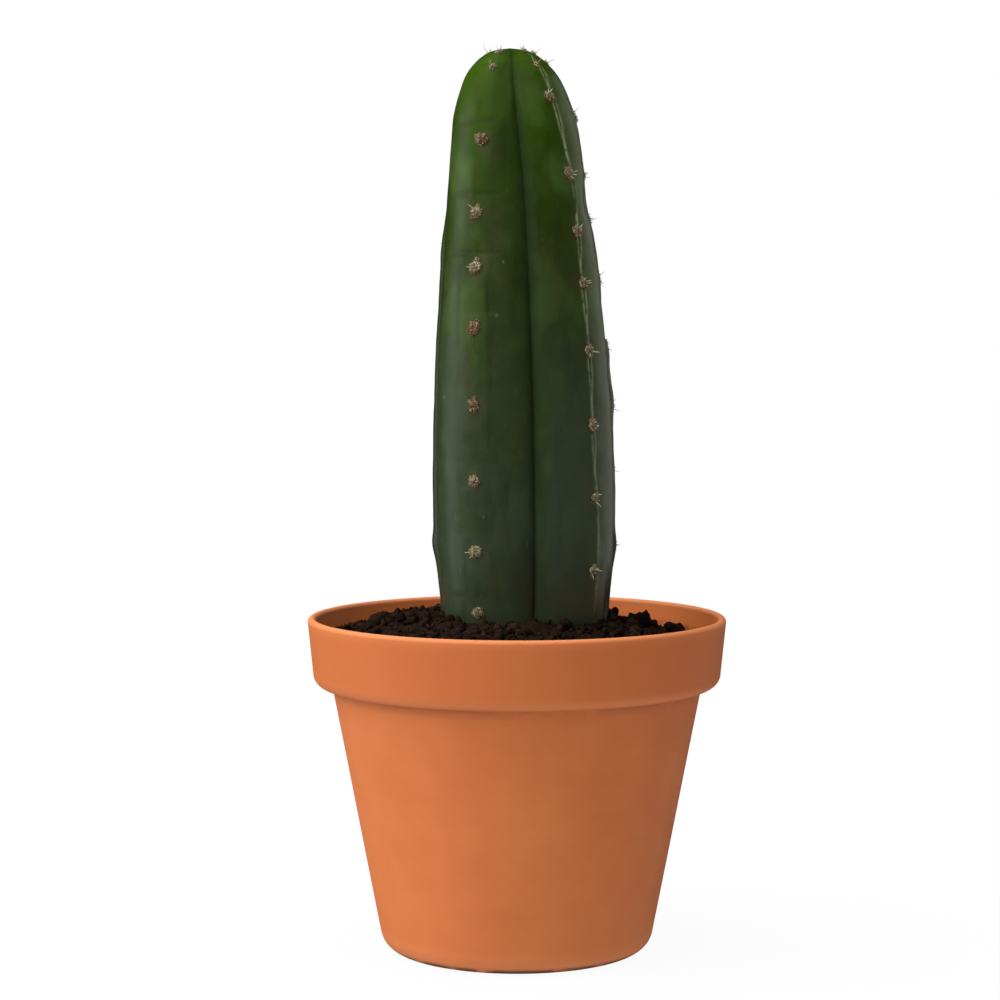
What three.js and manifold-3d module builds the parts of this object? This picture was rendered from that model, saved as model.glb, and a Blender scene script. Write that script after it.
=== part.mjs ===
// A tall ribbed cactus that stands in a rimmed terracotta pot filled with dark, crumbly soil.
// Millimetres, +Z up. The origin is the centre of the pot's underside, and the plant's front faces -Y.

import * as THREE from "three";
import { mergeVertices } from "three/addons/utils/BufferGeometryUtils.js";
import Module from "manifold-3d";

const wasm = await Module();
wasm.setup();

// Pot
const potHeight = 136.5;
const footRadius = 54.2; // where the sides would meet the ground without their rounding
const waistRadius = 75.2; // body, just under the rim band
const bandUnderside = 108.5;
const bandFootRadius = 82.9;
const bandTopRadius = 85;
const bandCorner = 5.3;
const footRounding = 9.2;
const lipRounding = 1.7; // half the lip's thickness
const bandInsideTaper = 2.8; // the band's wall thickens by this from the lip down to the shoulder
const shoulderTop = 112;
const shoulderFoot = 101;
const wallThickness = 6;
const baseThickness = 8;
const floorRounding = 6;
const drainRadius = 7.5;
const potSides = 48;

// Soil
const clearance = 0.35; // between the soil and what it touches
const wallClearance = 0.5;
const soilAtStem = 137.4;
const soilAtWall = 128.5;
const soilSlopePower = 0.85;
const soilSlopeStart = 38; // distance from the pot's axis, next to the stem
const soilRoughness = 0.7;
const soilSides = 36;
const soilTopRings = 7;
const stemHoleTop = 190; // height to which the cut for the stem clears what is heaped over it
const crumbCount = 58;
const crumbSmall = 1.8;
const crumbLarge = 3.6;
const crumbsFrom = 36; // nearest and furthest from the pot's axis
const crumbsTo = 73;
const lumpRise = 0.15; // share of a lump's radius that its middle lies above the soil
const lumpNarrow = 0.8; // shares of a lump's radius that its own three sizes keep to
const lumpBroad = 1.2;
const lumpFlat = 0.7;
const heaps = [
  { x: -47, y: 0, height: 4.4, spread: 11 },
  { x: 30, y: 36, height: 2, spread: 14 },
];
const clods = [
  { x: 48.5, y: -2, radius: 7 },
  { x: 65.5, y: -4, radius: 4.8 },
  { x: -56, y: -8, radius: 4.6 },
  { x: 8, y: 55, radius: 6 },
  { x: -30, y: 50, radius: 5 },
];

// Cactus stem: radius at the rib crests against height, from the buried foot to the crown
const stemOutline = [
  [0, 96],
  [15, 99],
  [27, 107],
  [33.6, 126],
  [35.4, 144],
  [37.6, 171],
  [37.6, 205],
  [35.7, 246],
  [32.7, 279],
  [28.8, 314],
  [25.8, 337],
  [21, 351.5],
  [15.4, 359.4],
  [8.5, 364.2],
  [0, 365.8],
].map(([radius, height]) => new THREE.Vector2(radius, height));
const footX = 3.4; // the stem stands a little right of the middle and leans left as it rises
const leanStart = 144;
const leanSpan = 220;
const leanReach = 6.3;
const furrowShare = 0.84; // radius at a furrow's bottom as a share of the outline
const crownFurrowShare = 0.94;
const crownStart = 342;
const stemTop = stemOutline.at(-1).y;
const buriedRows = [98.5, 106, 118];
const soilMark = 132;
const ribShares = [0, 0.07, 0.22, 0.5]; // columns between a furrow, at 0, and its crest, at 1
const gapShares = [0, 0.19, 0.25, 0.31, 0.65]; // rows between one areole, at 0, and the next
const creaseShare = 0.25;
const creaseDepthHigh = 1.1;
const creaseDepthLow = 0.2;
const swelling = 0.6;
const reliefFrom = 0.3; // shares of a rib's half width between which the swellings and creases come up
const reliefTo = 0.9;
const lobePower = 6.5; // a higher power gives broader lobes with narrower furrows
const furrowMargin = 0.07; // share of a rib's half width that a millimetre of margin takes at a furrow

// Ribs, round from the front. Angles are in degrees from -Y towards +X, low down and on the crown; end is
// the furrow after the crest. They change between twistFrom and twistTo. A rib reaches out to its share of
// the outline low down, and to its crown share from slimTo upwards. Its creases have their share of depth
const twistFrom = 305;
const twistTo = 352;
const slimFrom = 230;
const slimTo = 330;
const ribs = [
  {
    crest: [-33, -25],
    end: [6, 2],
    creases: 1,
    reach: 0.97,
    crownReach: 0.97,
    areoles: [142.5, 165.5, 193.3, 223.3, 254, 278, 299.5, 328, 357, 363.2],
  },
  {
    crest: [46, 36],
    end: [82, 80],
    creases: 0.15,
    reach: 1,
    crownReach: 1,
    areoles: [157.5, 186.5, 215.5, 245, 271.5, 292, 315, 345, 358, 363.8],
  },
  {
    crest: [108, 108],
    end: [146, 146],
    creases: 0.4,
    reach: 0.975,
    crownReach: 0.975,
    areoles: [164, 196, 221.5, 246.5, 273, 297.5, 315, 338.5, 360, 363.6],
  },
  {
    crest: [180, 180],
    end: [210, 210],
    creases: 0.6,
    reach: 0.98,
    crownReach: 0.98,
    areoles: [150, 177, 206, 235, 262, 286, 308, 333, 354, 363],
  },
  {
    crest: [238, 238],
    end: [268, 268],
    creases: 0.6,
    reach: 1.03,
    crownReach: 0.95,
    areoles: [147, 174.5, 203.5, 232, 263, 289, 310, 336, 356, 363.4],
  },
];

// Areoles and spines
const padRadius = 2.5;
const padHeight = 1.3;
const crownAreoles = 2; // the youngest on each rib, which are smaller
const crownPadRadius = 1.5;
const crownSpineScale = 0.5;
const crestBelow = 0.9; // share of the gap under an areole from which the crest's slope there is taken
const spinesPerAreole = 4;
const spineShort = 3;
const spineLong = 4.8;
const spineWidth = 0.95;
const spineRoot = 1.6; // length sunk in the pad
const spineSpread = 0.95; // sideways share of a spine's direction
const spineLift = 0.75; // how far the spines next to the soil turn upwards
const spineLiftBelow = 155; // height under which they do
const spineTurnStart = 0.2; // least share of its step in the fan that a spine is turned by
const spineTurnSpread = 0.6; // random share of the step that is added to it

// Seeded random numbers from 0 to 1, so that the part is the same each time
function randomFrom(seed) {
  let state = seed;
  return () => {
    state = (state + 0x6d2b79f5) | 0;
    let mixed = Math.imul(state ^ (state >>> 15), state | 1);
    mixed ^= mixed + Math.imul(mixed ^ (mixed >>> 7), mixed | 61);
    return ((mixed ^ (mixed >>> 14)) >>> 0) / 4294967296;
  };
}

// A closed geometry as a solid for joining and cutting
function solidFrom(geometry) {
  const bare = geometry.clone();
  bare.deleteAttribute("normal");
  bare.deleteAttribute("uv");
  const merged = mergeVertices(bare, 1e-4);
  return new wasm.Manifold(
    new wasm.Mesh({
      numProp: 3,
      vertProperties: merged.attributes.position.array,
      triVerts: new Uint32Array(merged.index.array),
    }),
  );
}

// The flat-sided mesh of a solid, named as its piece
function meshFrom(name, solid, material) {
  const { vertProperties, triVerts } = solid.getMesh();
  const indexed = new THREE.BufferGeometry();
  indexed.setAttribute("position", new THREE.BufferAttribute(vertProperties, 3));
  indexed.setIndex(new THREE.BufferAttribute(triVerts, 1));
  const geometry = indexed.toNonIndexed();
  geometry.computeVertexNormals();
  const mesh = new THREE.Mesh(geometry, material);
  mesh.name = name;
  return mesh;
}

// A closed surface from rings of points, each counter-clockwise from above, and a pole at each end
function geometryFromRings(rings, firstPole, lastPole) {
  const sides = rings[0].length;
  const points = [...rings.flat(), firstPole, lastPole];
  const first = points.length - 2;
  const last = points.length - 1;
  const faces = [];
  for (let side = 0; side < sides; side++) {
    const next = (side + 1) % sides;
    faces.push(first, next, side);
    for (let ring = 0; ring < rings.length - 1; ring++) {
      const low = ring * sides;
      const high = low + sides;
      faces.push(low + side, low + next, high + next);
      faces.push(low + side, high + next, high + side);
    }
    const top = (rings.length - 1) * sides;
    faces.push(last, top + side, top + next);
  }
  const geometry = new THREE.BufferGeometry().setFromPoints(points);
  geometry.setIndex(faces);
  return geometry;
}

// Pot: one turned piece with a tapered body, a rim band and a drain hole
const wallLean = Math.atan2(waistRadius - footRadius, bandUnderside);
const outsideAt = (height) => footRadius + height * Math.tan(wallLean);
const insideAt = (height) => outsideAt(height) - wallThickness / Math.cos(wallLean);
const lipInside = bandTopRadius - 2 * lipRounding;
const lipHeight = potHeight - lipRounding; // middle of the lip's rounding
const bandInsideAt = (height) => {
  return lipInside - (bandInsideTaper * (lipHeight - height)) / (lipHeight - shoulderTop);
};
const roundedInset = (radius) => (radius * (1 - Math.sin(wallLean))) / Math.cos(wallLean);

function potProfile() {
  const quarter = Math.PI / 2;
  const floorCentre = insideAt(baseThickness) - roundedInset(floorRounding);
  const profile = new THREE.Path();
  profile.moveTo(drainRadius, baseThickness);
  profile.lineTo(drainRadius, 0);
  profile.absarc(footRadius - roundedInset(footRounding), footRounding, footRounding, -quarter, -wallLean);
  profile.lineTo(waistRadius, bandUnderside);
  profile.absarc(bandFootRadius - bandCorner, bandUnderside + bandCorner, bandCorner, -quarter, 0);
  profile.absarc(bandTopRadius - lipRounding, lipHeight, lipRounding, 0, quarter);
  profile.absarc(bandTopRadius - lipRounding, lipHeight, lipRounding, quarter, 2 * quarter);
  profile.lineTo(bandInsideAt(shoulderTop), shoulderTop);
  profile.lineTo(insideAt(shoulderFoot), shoulderFoot);
  profile.absarc(floorCentre, baseThickness + floorRounding, floorRounding, -wallLean, -quarter, true);
  profile.lineTo(drainRadius, baseThickness);
  return profile.getPoints(2);
}

function potSolid() {
  return solidFrom(new THREE.LatheGeometry(potProfile(), potSides).rotateX(Math.PI / 2));
}

// Cactus stem
const outline = new THREE.SplineCurve(stemOutline);
outline.arcLengthDivisions = 600;
const outlineSamples = outline.getSpacedPoints(600);

// Share of the outline's length at which it reaches a height
function lengthShareAt(height) {
  const above = outlineSamples.findIndex((point) => point.y >= height);
  if (above < 1) {
    return above < 0 ? 1 : 0;
  }
  const low = outlineSamples[above - 1].y;
  const part = (height - low) / (outlineSamples[above].y - low);
  return (above - 1 + part) / (outlineSamples.length - 1);
}

const stemAxisX = (height) => footX - leanReach * Math.max(0, (height - leanStart) / leanSpan) ** 2;

// Columns round the stem: the rib that each is on, its closeness to the crest, and its side of the crest
const columns = ribs.flatMap((_, index) => {
  const rise = ribShares.map((share) => ({ index, share, side: -1 }));
  const fall = ribShares.slice(1).map((share) => ({ index, share, side: 1 })).reverse();
  return [...rise, { index, share: 1, side: 1 }, ...fall];
});
const beforeOf = (index) => ribs[(index + ribs.length - 1) % ribs.length];
const afterOf = (index) => ribs[(index + 1) % ribs.length];

// An angle that is given low down and on the crown, at a height, in radians
function swungAngle([low, high], height) {
  const swing = THREE.MathUtils.smoothstep(height, twistFrom, twistTo);
  return THREE.MathUtils.degToRad(THREE.MathUtils.lerp(low, high, swing));
}

function columnAngle({ index, share, side }, height) {
  const furrow = swungAngle(side < 0 ? beforeOf(index).end : ribs[index].end, height);
  const start = side < 0 && index === 0 ? furrow - 2 * Math.PI : furrow;
  return THREE.MathUtils.lerp(start, swungAngle(ribs[index].crest, height), share);
}

// Rows up the stem: the buried ones are level, and the rest follow each rib's own areoles
const rows = buriedRows.map((height) => ({ height }));
rows.push({ mark: -1, part: 0 }, { mark: -1, part: 0.5 });
for (let mark = 0; mark < ribs[0].areoles.length - 1; mark++) {
  gapShares.forEach((part) => rows.push({ mark, part }));
}
rows.push({ mark: ribs[0].areoles.length - 1, part: 0 });

function rowShareOn(rib, row) {
  if (row.height) {
    return lengthShareAt(row.height);
  }
  const from = lengthShareAt(row.mark < 0 ? soilMark : rib.areoles[row.mark]);
  const to = lengthShareAt(rib.areoles[row.mark + 1] ?? stemTop);
  return THREE.MathUtils.lerp(from, to, row.part);
}

// How far the surface stands out from the plain rib: swollen between creases, cut in at each
function reliefAt(row, { index, share }, height) {
  if (row.height || row.mark < 0) {
    return 0;
  }
  const sinceCrease = (row.part - creaseShare + 1) % 1;
  const growth = THREE.MathUtils.smoothstep(height, soilAtStem, crownStart);
  const fade = Math.min(1, (stemTop - height) / (stemTop - crownStart));
  const depth = ribs[index].creases * THREE.MathUtils.lerp(creaseDepthLow, creaseDepthHigh, growth);
  const onCrest = THREE.MathUtils.smoothstep(share, reliefFrom, reliefTo);
  return onCrest * fade * (swelling * Math.sin(Math.PI * sinceCrease) - (sinceCrease ? 0 : depth));
}

// A point of the stem, moved out by a margin where a hole for it is wanted
function stemPoint(row, column, margin = 0) {
  const rib = ribs[column.index];
  const neighbour = column.side < 0 ? beforeOf(column.index) : afterOf(column.index);
  const own = rowShareOn(rib, row);
  const shared = (own + rowShareOn(neighbour, row)) / 2;
  const spot = outline.getPointAt(THREE.MathUtils.lerp(shared, own, Math.min(1, 2 * column.share)));
  const crown = THREE.MathUtils.smoothstep(spot.y, crownStart, stemTop);
  const bottom = THREE.MathUtils.lerp(furrowShare, crownFurrowShare, crown);
  // A margin moves the column towards its crest too, which keeps it on a furrow's steep sides
  const share = Math.min(1, column.share + furrowMargin * margin);
  const lobe = Math.sqrt(1 - (1 - share) ** lobePower);
  const relief = reliefAt(row, column, spot.y);
  const slim = THREE.MathUtils.smoothstep(spot.y, slimFrom, slimTo);
  const reach = THREE.MathUtils.lerp(rib.reach, rib.crownReach, slim);
  const radius = spot.x * (bottom + (reach - bottom) * lobe) + relief + margin;
  const angle = columnAngle(column, spot.y);
  return new THREE.Vector3(
    stemAxisX(spot.y) + radius * Math.sin(angle),
    -radius * Math.cos(angle),
    spot.y - margin,
  );
}

function stemSolid(usedRows, margin, top) {
  const rings = usedRows.map((row) => columns.map((column) => stemPoint(row, column, margin)));
  const foot = new THREE.Vector3(footX, 0, stemOutline[0].y - margin);
  return solidFrom(geometryFromRings(rings, foot, top));
}

// A geometry with its own +Y turned along a direction, as a solid at a place
function solidAlong(geometry, direction, place) {
  const turn = new THREE.Quaternion().setFromUnitVectors(new THREE.Vector3(0, 1, 0), direction);
  geometry.applyQuaternion(turn);
  geometry.translate(place.x, place.y, place.z);
  return solidFrom(geometry);
}

// One areole: a felt pad on the crest with its spines fanned out from it
function areoleSolid(rib, mark, random) {
  const index = ribs.indexOf(rib);
  const column = { index, share: 1, side: 1 };
  const place = stemPoint({ mark, part: 0 }, column);
  const below = stemPoint({ mark: mark - 1, part: crestBelow }, column);
  const upward = place.clone().sub(below).normalize();
  const angle = swungAngle(rib.crest, place.z);
  const sideways = new THREE.Vector3(Math.cos(angle), Math.sin(angle), 0);
  const outward = sideways.clone().cross(upward).normalize();
  const nearCrown = mark >= rib.areoles.length - crownAreoles;
  const size = nearCrown ? crownPadRadius : padRadius;
  const pad = new THREE.IcosahedronGeometry(1, 0).scale(size, padHeight, size);
  let solid = solidAlong(pad, outward, place);
  const lift = place.z < spineLiftBelow ? spineLift : 0;
  const scale = nearCrown ? crownSpineScale : 1;
  for (let spine = 0; spine < spinesPerAreole; spine++) {
    const turn = (2 * Math.PI * (spine + spineTurnStart + spineTurnSpread * random())) / spinesPerAreole;
    const direction = outward.clone();
    direction.addScaledVector(sideways, spineSpread * Math.cos(turn));
    direction.addScaledVector(upward, spineSpread * Math.sin(turn) * (1 - lift) + lift);
    direction.normalize();
    const length = spineRoot + scale * THREE.MathUtils.lerp(spineShort, spineLong, random());
    const middle = place.clone().addScaledVector(direction, length / 2 - spineRoot);
    solid = solid.add(solidAlong(new THREE.ConeGeometry(spineWidth / 2, length, 3), direction, middle));
  }
  return solid;
}

function cactusSolid() {
  const random = randomFrom(7);
  const crown = new THREE.Vector3(stemAxisX(stemTop), 0, stemTop);
  let solid = stemSolid(rows, 0, crown);
  ribs.forEach((rib) => {
    rib.areoles.forEach((_, mark) => {
      solid = solid.add(areoleSolid(rib, mark, random));
    });
  });
  return solid;
}

// Soil: fills the pot to just under its lip and rises to the stem
function soilHeightAt(x, y) {
  const away = (Math.hypot(x, y) - soilSlopeStart) / (lipInside - soilSlopeStart);
  const drop = (soilAtStem - soilAtWall) * THREE.MathUtils.clamp(away, 0, 1) ** soilSlopePower;
  const heaped = heaps.map((heap) => {
    const distance = Math.hypot(x - heap.x, y - heap.y) / heap.spread;
    return heap.height * Math.exp(-(distance ** 2) / 2);
  });
  return soilAtStem - drop + heaped.reduce((sum, height) => sum + height, 0);
}

function soilBed(random) {
  const side = [
    [insideAt(baseThickness + floorRounding) - floorRounding, baseThickness],
    [insideAt(baseThickness + floorRounding), baseThickness + floorRounding],
    [insideAt(shoulderFoot), shoulderFoot],
    [bandInsideAt(shoulderTop), shoulderTop],
    [bandInsideAt((shoulderTop + soilAtWall) / 2), (shoulderTop + soilAtWall) / 2],
  ].map(([radius, height]) => ({ radius: radius - wallClearance, height: height + clearance }));
  const ringOf = (radius, heightAt) =>
    Array.from({ length: soilSides }, (_, column) => {
      const angle = (2 * Math.PI * column) / soilSides;
      const x = radius * Math.cos(angle);
      const y = radius * Math.sin(angle);
      return new THREE.Vector3(x, y, heightAt(x, y));
    });
  const rings = side.map(({ radius, height }) => ringOf(radius, () => height));
  const rim = bandInsideAt(soilAtWall) - wallClearance;
  for (let ring = 0; ring < soilTopRings; ring++) {
    const radius = (rim * (soilTopRings - ring)) / soilTopRings;
    rings.push(ringOf(radius, (x, y) => soilHeightAt(x, y) + soilRoughness * (2 * random() - 1)));
  }
  const bottom = new THREE.Vector3(0, 0, side[0].height);
  return solidFrom(geometryFromRings(rings, bottom, new THREE.Vector3(0, 0, soilAtStem)));
}

// A crumb or clod: an uneven lump, half sunk in the soil at a place
function lumpSolid(x, y, radius, random) {
  const lump = new THREE.IcosahedronGeometry(radius, 0);
  const width = THREE.MathUtils.lerp(lumpNarrow, lumpBroad, random());
  const length = THREE.MathUtils.lerp(lumpNarrow, lumpBroad, random());
  lump.scale(width, length, THREE.MathUtils.lerp(lumpFlat, 1, random()));
  lump.rotateX(Math.PI * random());
  lump.rotateZ(Math.PI * random());
  lump.translate(x, y, soilHeightAt(x, y) + lumpRise * radius);
  return solidFrom(lump);
}

function soilSolid() {
  const random = randomFrom(21);
  let solid = soilBed(random);
  clods.forEach(({ x, y, radius }) => {
    solid = solid.add(lumpSolid(x, y, radius, random));
  });
  for (let crumb = 0; crumb < crumbCount; crumb++) {
    const radius = THREE.MathUtils.lerp(crumbSmall, crumbLarge, random());
    const away = THREE.MathUtils.lerp(crumbsFrom, crumbsTo, Math.sqrt(random()));
    const angle = 2 * Math.PI * random();
    solid = solid.add(lumpSolid(away * Math.cos(angle), away * Math.sin(angle), radius, random));
  }
  const holeRows = rows.filter((row) => row.height || row.mark < 1);
  const holeTop = new THREE.Vector3(footX, 0, stemHoleTop);
  return solid.subtract(stemSolid(holeRows, clearance, holeTop));
}

const terracotta = new THREE.MeshStandardMaterial({ color: 0xc66d3f, roughness: 0.62, metalness: 0 });
const soilDark = new THREE.MeshStandardMaterial({ color: 0x231c17, roughness: 0.98, metalness: 0 });
const cactusGreen = new THREE.MeshStandardMaterial({ color: 0x34482c, roughness: 0.48, metalness: 0 });

const pottedCactus = new THREE.Group();
pottedCactus.add(meshFrom("pot", potSolid(), terracotta));
pottedCactus.add(meshFrom("soil", soilSolid(), soilDark));
pottedCactus.add(meshFrom("cactus", cactusSolid(), cactusGreen));

export default pottedCactus;
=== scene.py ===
import math
import random

import bmesh
import bpy
import numpy as np
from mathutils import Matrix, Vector, noise


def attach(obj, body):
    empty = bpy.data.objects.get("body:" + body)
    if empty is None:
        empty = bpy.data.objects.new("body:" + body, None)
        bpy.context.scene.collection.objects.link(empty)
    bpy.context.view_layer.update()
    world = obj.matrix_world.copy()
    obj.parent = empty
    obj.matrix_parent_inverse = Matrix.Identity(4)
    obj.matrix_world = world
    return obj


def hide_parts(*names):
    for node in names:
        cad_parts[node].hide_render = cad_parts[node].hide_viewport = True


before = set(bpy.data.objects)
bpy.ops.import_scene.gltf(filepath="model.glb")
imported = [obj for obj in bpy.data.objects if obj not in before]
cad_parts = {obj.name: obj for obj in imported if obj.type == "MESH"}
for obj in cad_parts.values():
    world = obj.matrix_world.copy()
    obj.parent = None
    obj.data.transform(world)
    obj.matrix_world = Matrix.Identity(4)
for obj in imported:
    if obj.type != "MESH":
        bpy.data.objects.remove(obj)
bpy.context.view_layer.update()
mm = 0.001
scene = bpy.context.scene
print("frame loaded:", ", ".join(sorted(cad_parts)))


# Shader helpers: a Link is an output socket that takes part in sums,
# and a Finish is a material under construction

class Link:
    def __init__(self, finish, socket):
        self.finish = finish
        self.socket = socket

    def maths(self, operation, *values):
        return self.finish.node("ShaderNodeMath", {"operation": operation}, dict(enumerate(values)))

    def __add__(self, other):
        return self.maths("ADD", self, other)

    def __radd__(self, other):
        return self.maths("ADD", other, self)

    def __sub__(self, other):
        return self.maths("SUBTRACT", self, other)

    def __rsub__(self, other):
        return self.maths("SUBTRACT", other, self)

    def __mul__(self, other):
        return self.maths("MULTIPLY", self, other)

    def __rmul__(self, other):
        return self.maths("MULTIPLY", other, self)

    def __truediv__(self, other):
        return self.maths("DIVIDE", self, other)

    def __rtruediv__(self, other):
        return self.maths("DIVIDE", other, self)

    def between(self, low, high):  # 0 at low, 1 at high, smooth in between; low may be the higher
        settings = {"interpolation_type": "SMOOTHSTEP"}
        if low < high:
            return self.finish.node("ShaderNodeMapRange", settings, {0: self, 1: low, 2: high})
        return 1.0 - self.finish.node("ShaderNodeMapRange", settings, {0: self, 1: high, 2: low})


class Finish:
    def __init__(self, name, owner=None):
        self.material = owner or bpy.data.materials.new(name)
        self.material.use_nodes = True
        self.tree = self.material.node_tree
        self.tree.nodes.clear()
        self.place = self.node("ShaderNodeTexCoord", out="Object")

    def node(self, kind, settings=None, values=None, out=0):  # settings first, then socket values or links
        made = self.tree.nodes.new(kind)
        for key, value in (settings or {}).items():
            if key == "stops":
                self.setStops(made.color_ramp, value)
            else:
                setattr(made, key, value)
        for key, value in (values or {}).items():
            if isinstance(value, Link):
                self.tree.links.new(value.socket, made.inputs[key])
            else:
                made.inputs[key].default_value = value
        return Link(self, made.outputs[out])

    def setStops(self, ramp, stops):
        while len(ramp.elements) > 1:
            ramp.elements.remove(ramp.elements[-1])
        ramp.elements[0].position = stops[0][0]
        ramp.elements[0].color = (*stops[0][1], 1.0)
        for position, colour in stops[1:]:
            ramp.elements.new(position).color = (*colour, 1.0)

    def ramp(self, value, stops):
        return self.node("ShaderNodeValToRGB", {"stops": stops}, {0: value})

    def mix(self, low, high, share):
        low, high = ((*c, 1.0) if isinstance(c, tuple) else c for c in (low, high))
        return self.node("ShaderNodeMix", {"data_type": "RGBA"}, {0: share, 6: low, 7: high}, out=2)

    def stretched(self, scale):
        return self.node("ShaderNodeVectorMath", {"operation": "MULTIPLY"}, {0: self.place, 1: scale})

    def cloud(self, size, detail=3.0, roughness=0.5, stretch=None):  # noise with spots of about that size
        values = {"Scale": 1.0 / size, "Detail": detail, "Roughness": roughness}
        values["Vector"] = self.stretched(stretch) if stretch else self.place
        return self.node("ShaderNodeTexNoise", None, values)

    def cells(self, size, stretch=None):  # distance to the nearest of many scattered spots
        place = self.stretched(stretch) if stretch else self.place
        return self.node("ShaderNodeTexVoronoi", None, {"Scale": 1.0 / size, "Vector": place}, out="Distance")

    def painted(self, name):  # a value stored on the mesh
        return self.node("ShaderNodeAttribute", {"attribute_name": name}, out="Fac")

    def axis(self, name):
        return self.node("ShaderNodeSeparateXYZ", None, {0: self.place}, out=name)

    def bump(self, height, depth, strength):
        values = {"Height": height, "Distance": depth, "Strength": strength}
        return self.node("ShaderNodeBump", None, values, out="Normal")

    def close(self, values):
        shader = self.node("ShaderNodeBsdfPrincipled", None, values)
        output = self.tree.nodes.new("ShaderNodeOutputMaterial")
        self.tree.links.new(shader.socket, output.inputs["Surface"])
        return self.material


# Mesh helpers

def clamp(value, low=0.0, high=1.0):
    return max(low, min(high, value))


def smooth(value, low, high):
    share = clamp((value - low) / (high - low))
    return share * share * (3 - 2 * share)


def lerp(low, high, share):
    return low + (high - low) * share


def makePiece(name, points, faces, finish, replaced, paints):  # points in millimetres
    mesh = bpy.data.meshes.new(name)
    mesh.from_pydata([tuple(c * mm for c in point) for point in points], [], faces)
    mesh.validate()
    mesh.shade_smooth()
    for key, values in paints.items():
        mesh.attributes.new(key, "FLOAT", "POINT").data.foreach_set("value", np.array(values, np.float32))
    mesh.materials.append(finish)
    piece = bpy.data.objects.new(name, mesh)
    scene.collection.objects.link(piece)
    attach(piece, "root")
    if replaced:
        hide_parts(*replaced)
    print(f"{name}: {len(points)} points, {len(faces)} faces")


# Quads between rings of points that run counter-clockwise from above
def ringFaces(rings, sides, closed=False):
    faces = []
    for ring in range(rings if closed else rings - 1):
        low = ring * sides
        high = (ring + 1) % rings * sides
        for side in range(sides):
            after = (side + 1) % sides
            faces.append((low + side, low + after, high + after, high + side))
    return faces


# Pot: sizes here and below are in millimetres, only the studio's are in metres

pot = {
    "height": 136.5,
    "footRadius": 54.2,
    "waistRadius": 75.2,
    "bandUnderside": 108.5,
    "bandFootRadius": 82.9,
    "bandTopRadius": 85.0,
    "bandCorner": 5.3,
    "footRounding": 9.2,
    "lipRounding": 1.7,
    "bandInsideTaper": 2.8,
    "shoulderTop": 112.0,
    "shoulderFoot": 101.0,
    "wall": 6.0,
    "base": 8.0,
    "floorRounding": 6.0,
    "insideMark": 20.0,  # height of a ring of points above the floor's rounding
    "drainRadius": 7.5,
    "waistRounding": 1.2,  # in the corner where the band meets the body
    "wobble": 0.12,
    "sides": 288,
    "clay": (0.475, 0.132, 0.038),
    "clayPale": (0.54, 0.170, 0.056),
    "clayDeep": (0.40, 0.102, 0.028),
    "clayWornAndLitEdge": (0.62, 0.225, 0.09),  # rubbed edges, and a painted highlight along the lip
    "clayUnderBandShade": (0.14, 0.044, 0.020),  # painted shade in the corner under the band
    # painted light on the inside wall
    "clayInsideLit": (0.66, 0.170, 0.042),
    "clayFootShade": (0.05, 0.017, 0.008),  # painted contact shadow along the foot's bottom edge
    "soilDust": (0.035, 0.017, 0.01),
    "dustFades": (125.5, 129),  # heights between which the dust on the inside ends
    "footShadeFades": (1.6, 3.4),
    "footWearFades": (2, 12),
    "cornerSpread": 1.6,  # height of the painted shade line under the band
    "roughness": 0.6,
}
wallLean = math.atan2(pot["waistRadius"] - pot["footRadius"], pot["bandUnderside"])
lipInside = pot["bandTopRadius"] - 2 * pot["lipRounding"]


def bandInsideAt(height):
    lipHeight = pot["height"] - pot["lipRounding"]
    return lipInside - pot["bandInsideTaper"] * (lipHeight - height) / (lipHeight - pot["shoulderTop"])


def insideAt(height):
    return pot["footRadius"] + height * math.tan(wallLean) - pot["wall"] / math.cos(wallLean)


def roundedInset(radius):
    return radius * (1 - math.sin(wallLean)) / math.cos(wallLean)


def arc(x, y, radius, start, end, steps):
    turns = (lerp(start, end, step / steps) for step in range(steps + 1))
    return [(x + radius * math.cos(turn), y + radius * math.sin(turn)) for turn in turns]


def line(start, end, steps):
    return [tuple(lerp(a, b, step / steps) for a, b in zip(start, end)) for step in range(steps + 1)]


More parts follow.
